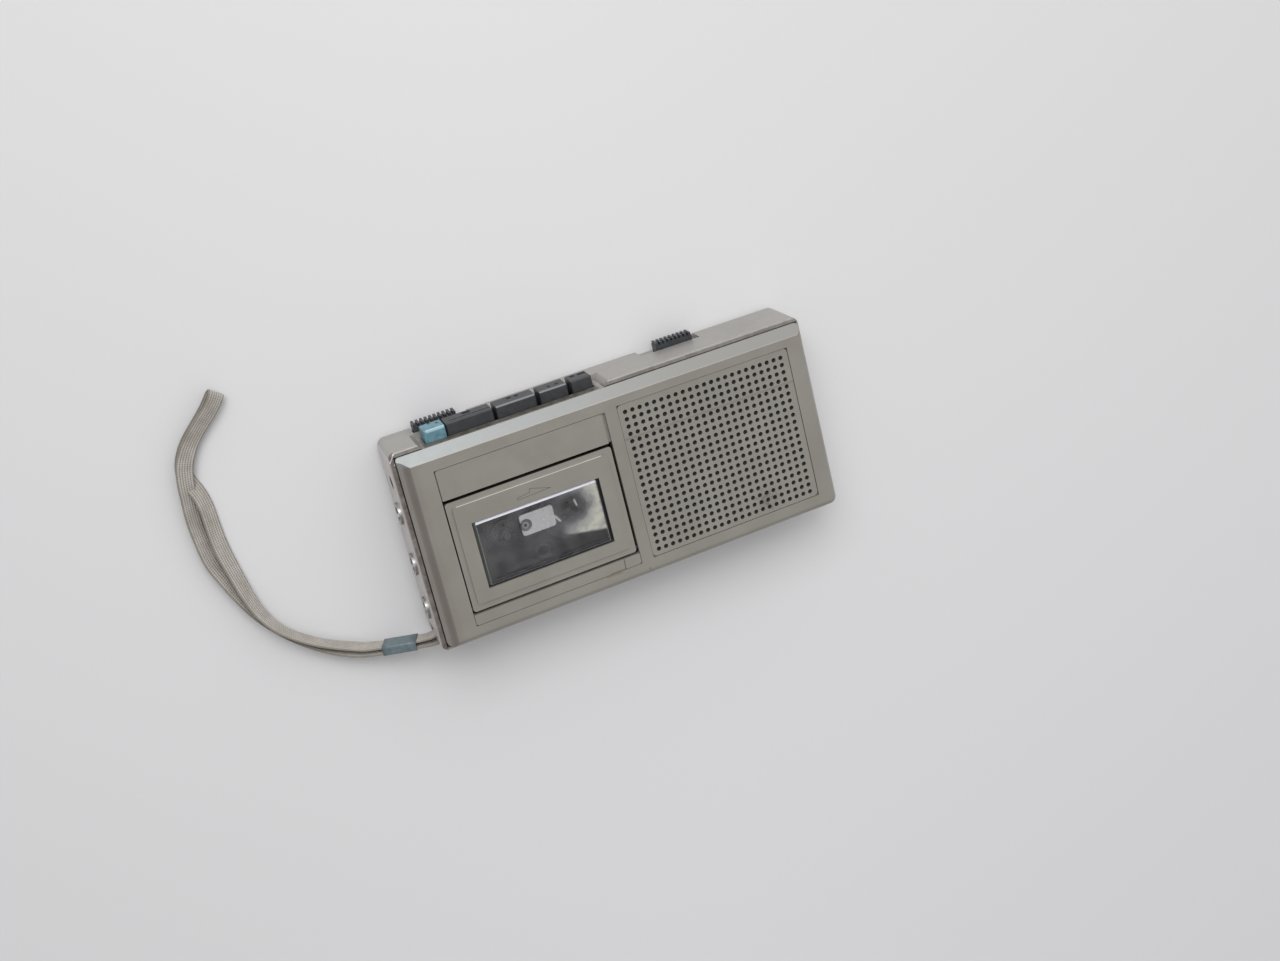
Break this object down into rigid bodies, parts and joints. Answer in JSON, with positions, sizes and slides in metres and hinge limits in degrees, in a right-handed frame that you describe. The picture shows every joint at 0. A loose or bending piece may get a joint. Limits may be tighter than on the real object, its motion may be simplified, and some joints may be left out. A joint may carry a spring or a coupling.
{
  "type": "dictation machine",
  "caption": "Hand-held microcassette dictation machine with speaker grille, windowed cassette door, edge keys, ribbed sliders, end sockets and a wrist strap.",
  "frame": {"origin": "about the middle of the cabinet's back face, on which the recorder lies", "axes": "+X along the cabinet towards the grille end, +Y towards the keys, +Z out of the front"},
  "size_m": [0.1995, 0.1011, 0.0244],
  "materials": {
    "cabinet_plastic": "satin warm grey moulding with fine grain",
    "silver_panel": "silver-grey satin paint, lightly worn",
    "steel": "plain steel",
    "window_acrylic": "smoked clear acrylic, polished",
    "record_key_plastic": "light blue plastic",
    "key_plastic": "dark blue-grey plastic",
    "black_plastic": "black moulding",
    "paper": "black paper cone",
    "rubber": "black rubber",
    "aluminium": "plain aluminium",
    "board_resin": "green board with dark components",
    "black_metal": "black painted steel",
    "cream_plastic": "cream plastic",
    "brass": "turned brass",
    "chrome": "bright plating",
    "cell_label": "plain grey sleeve",
    "strap_webbing": "grey-beige woven tape with lengthwise ribs",
    "black_cloth": "thin black cloth",
    "keeper_plastic": "blue-green plastic"
  },
  "bodies": {
    "cabinet": {"front_cabinet": "cabinet_plastic", "rear_cabinet": "cabinet_plastic", "head_cover_plate": "silver_panel", "hinge_cover_plate": "silver_panel", "grille_plate": "silver_panel", "grille_cloth": "black_cloth", "key_bracket": "steel", "key_springs": "steel", "pause_switch": "black_plastic", "volume_control": "black_plastic", "speaker_basket": "black_plastic", "speaker_magnet": "steel", "speaker_cone": "paper", "microphone_cup": "rubber", "microphone_capsule": "aluminium", "circuit_board": "board_resin", "board_pillars": "black_plastic", "deck_plate": "black_metal", "deck_screws": "steel", "bright_plate": "steel", "capstan_bush": "brass", "motor": "steel", "drive_belt": "rubber", "earphone_socket": "black_plastic", "microphone_socket": "black_plastic", "remote_socket": "black_plastic", "power_socket": "black_plastic", "socket_nuts": "chrome", "battery_tray": "black_plastic", "battery_cells": "cell_label", "battery_contacts": "steel", "cabinet_screws": "steel", "strap_bar": "steel", "wrist_strap": "strap_webbing", "strap_keeper": "keeper_plastic"},
    "door": {"cassette_door": "silver_panel", "door_window": "window_acrylic", "door_hinge_pins": "steel", "cassette_holder": "steel"},
    "record_button": {"record_key": "record_key_plastic"},
    "play_button": {"play_key": "key_plastic"},
    "rewind_button": {"rewind_key": "key_plastic"},
    "forward_button": {"forward_key": "key_plastic"},
    "stop_button": {"stop_key": "key_plastic"},
    "pause_knob": {"pause_slider": "key_plastic"},
    "volume_knob": {"volume_slider": "key_plastic"},
    "supply_reel": {"supply_spindle": "black_plastic"},
    "takeup_reel": {"takeup_spindle": "black_plastic", "takeup_gear": "cream_plastic"},
    "capstan": {"capstan_shaft": "steel", "flywheel": "brass"},
    "motor_shaft": {"motor_pulley": "brass"},
    "head_carrier": {"head_bridge": "steel", "record_head": "chrome", "erase_head": "black_plastic"},
    "roller": {"pinch_roller": "rubber"},
    "bay_cover": {"battery_cover": "cabinet_plastic"}
  },
  "joints": [
    {"name": "door_hinge", "type": "hinge", "parent": "cabinet", "child": "door", "pos_m": [-0.0296, -0.0231, 0.0229], "axis": [1, 0, 0], "range_deg": [0, 45]},
    {"name": "record_key_press", "type": "slide", "parent": "cabinet", "child": "record_button", "axis": [0, -1, 0], "range_m": [0, 0.0025], "stiffness_N_per_m": 350, "deforming": ["key_springs"]},
    {"name": "play_key_press", "type": "slide", "parent": "cabinet", "child": "play_button", "axis": [0, -1, 0], "range_m": [0, 0.0025], "stiffness_N_per_m": 350, "deforming": ["key_springs"]},
    {"name": "rewind_key_press", "type": "slide", "parent": "cabinet", "child": "rewind_button", "axis": [0, -1, 0], "range_m": [0, 0.0025], "stiffness_N_per_m": 350, "deforming": ["key_springs"]},
    {"name": "forward_key_press", "type": "slide", "parent": "cabinet", "child": "forward_button", "axis": [0, -1, 0], "range_m": [0, 0.0025], "stiffness_N_per_m": 350, "deforming": ["key_springs"]},
    {"name": "stop_key_press", "type": "slide", "parent": "cabinet", "child": "stop_button", "axis": [0, -1, 0], "range_m": [0, 0.0025], "stiffness_N_per_m": 350, "deforming": ["key_springs"]},
    {"name": "head_slide", "type": "slide", "parent": "cabinet", "child": "head_carrier", "axis": [0, -1, 0], "range_m": [0, 0.0025]},
    {"name": "pause_slide", "type": "slide", "parent": "cabinet", "child": "pause_knob", "axis": [1, 0, 0], "range_m": [0, 0.004]},
    {"name": "volume_slide", "type": "slide", "parent": "cabinet", "child": "volume_knob", "axis": [1, 0, 0], "range_m": [-0.0053, 0.0021]},
    {"name": "supply_spin", "type": "hinge", "parent": "cabinet", "child": "supply_reel", "pos_m": [-0.04005, -0.0068, 0.011], "axis": [0, 0, 1], "continuous": true},
    {"name": "takeup_spin", "type": "hinge", "parent": "cabinet", "child": "takeup_reel", "pos_m": [-0.01855, -0.0068, 0.011], "axis": [0, 0, 1], "continuous": true},
    {"name": "flywheel_spin", "type": "hinge", "parent": "cabinet", "child": "capstan", "pos_m": [-0.0135, 0.0076, 0.011], "axis": [0, 0, 1], "continuous": true},
    {"name": "motor_spin", "type": "hinge", "parent": "cabinet", "child": "motor_shaft", "pos_m": [-0.042, 0.012, 0.005], "axis": [0, 0, 1], "continuous": true},
    {"name": "roller_spin", "type": "hinge", "parent": "head_carrier", "child": "roller", "pos_m": [-0.0135, 0.0142, 0.015], "axis": [0, 0, 1], "continuous": true},
    {"name": "battery_cover_slide", "type": "slide", "parent": "cabinet", "child": "bay_cover", "axis": [1, 0, 0], "range_m": [0, 0.012]}
  ],
  "couplings": [
    {"joint": "head_slide", "follows": "play_key_press", "ratio": 1},
    {"joint": "motor_spin", "follows": "flywheel_spin", "ratio": 4.7838}
  ]
}
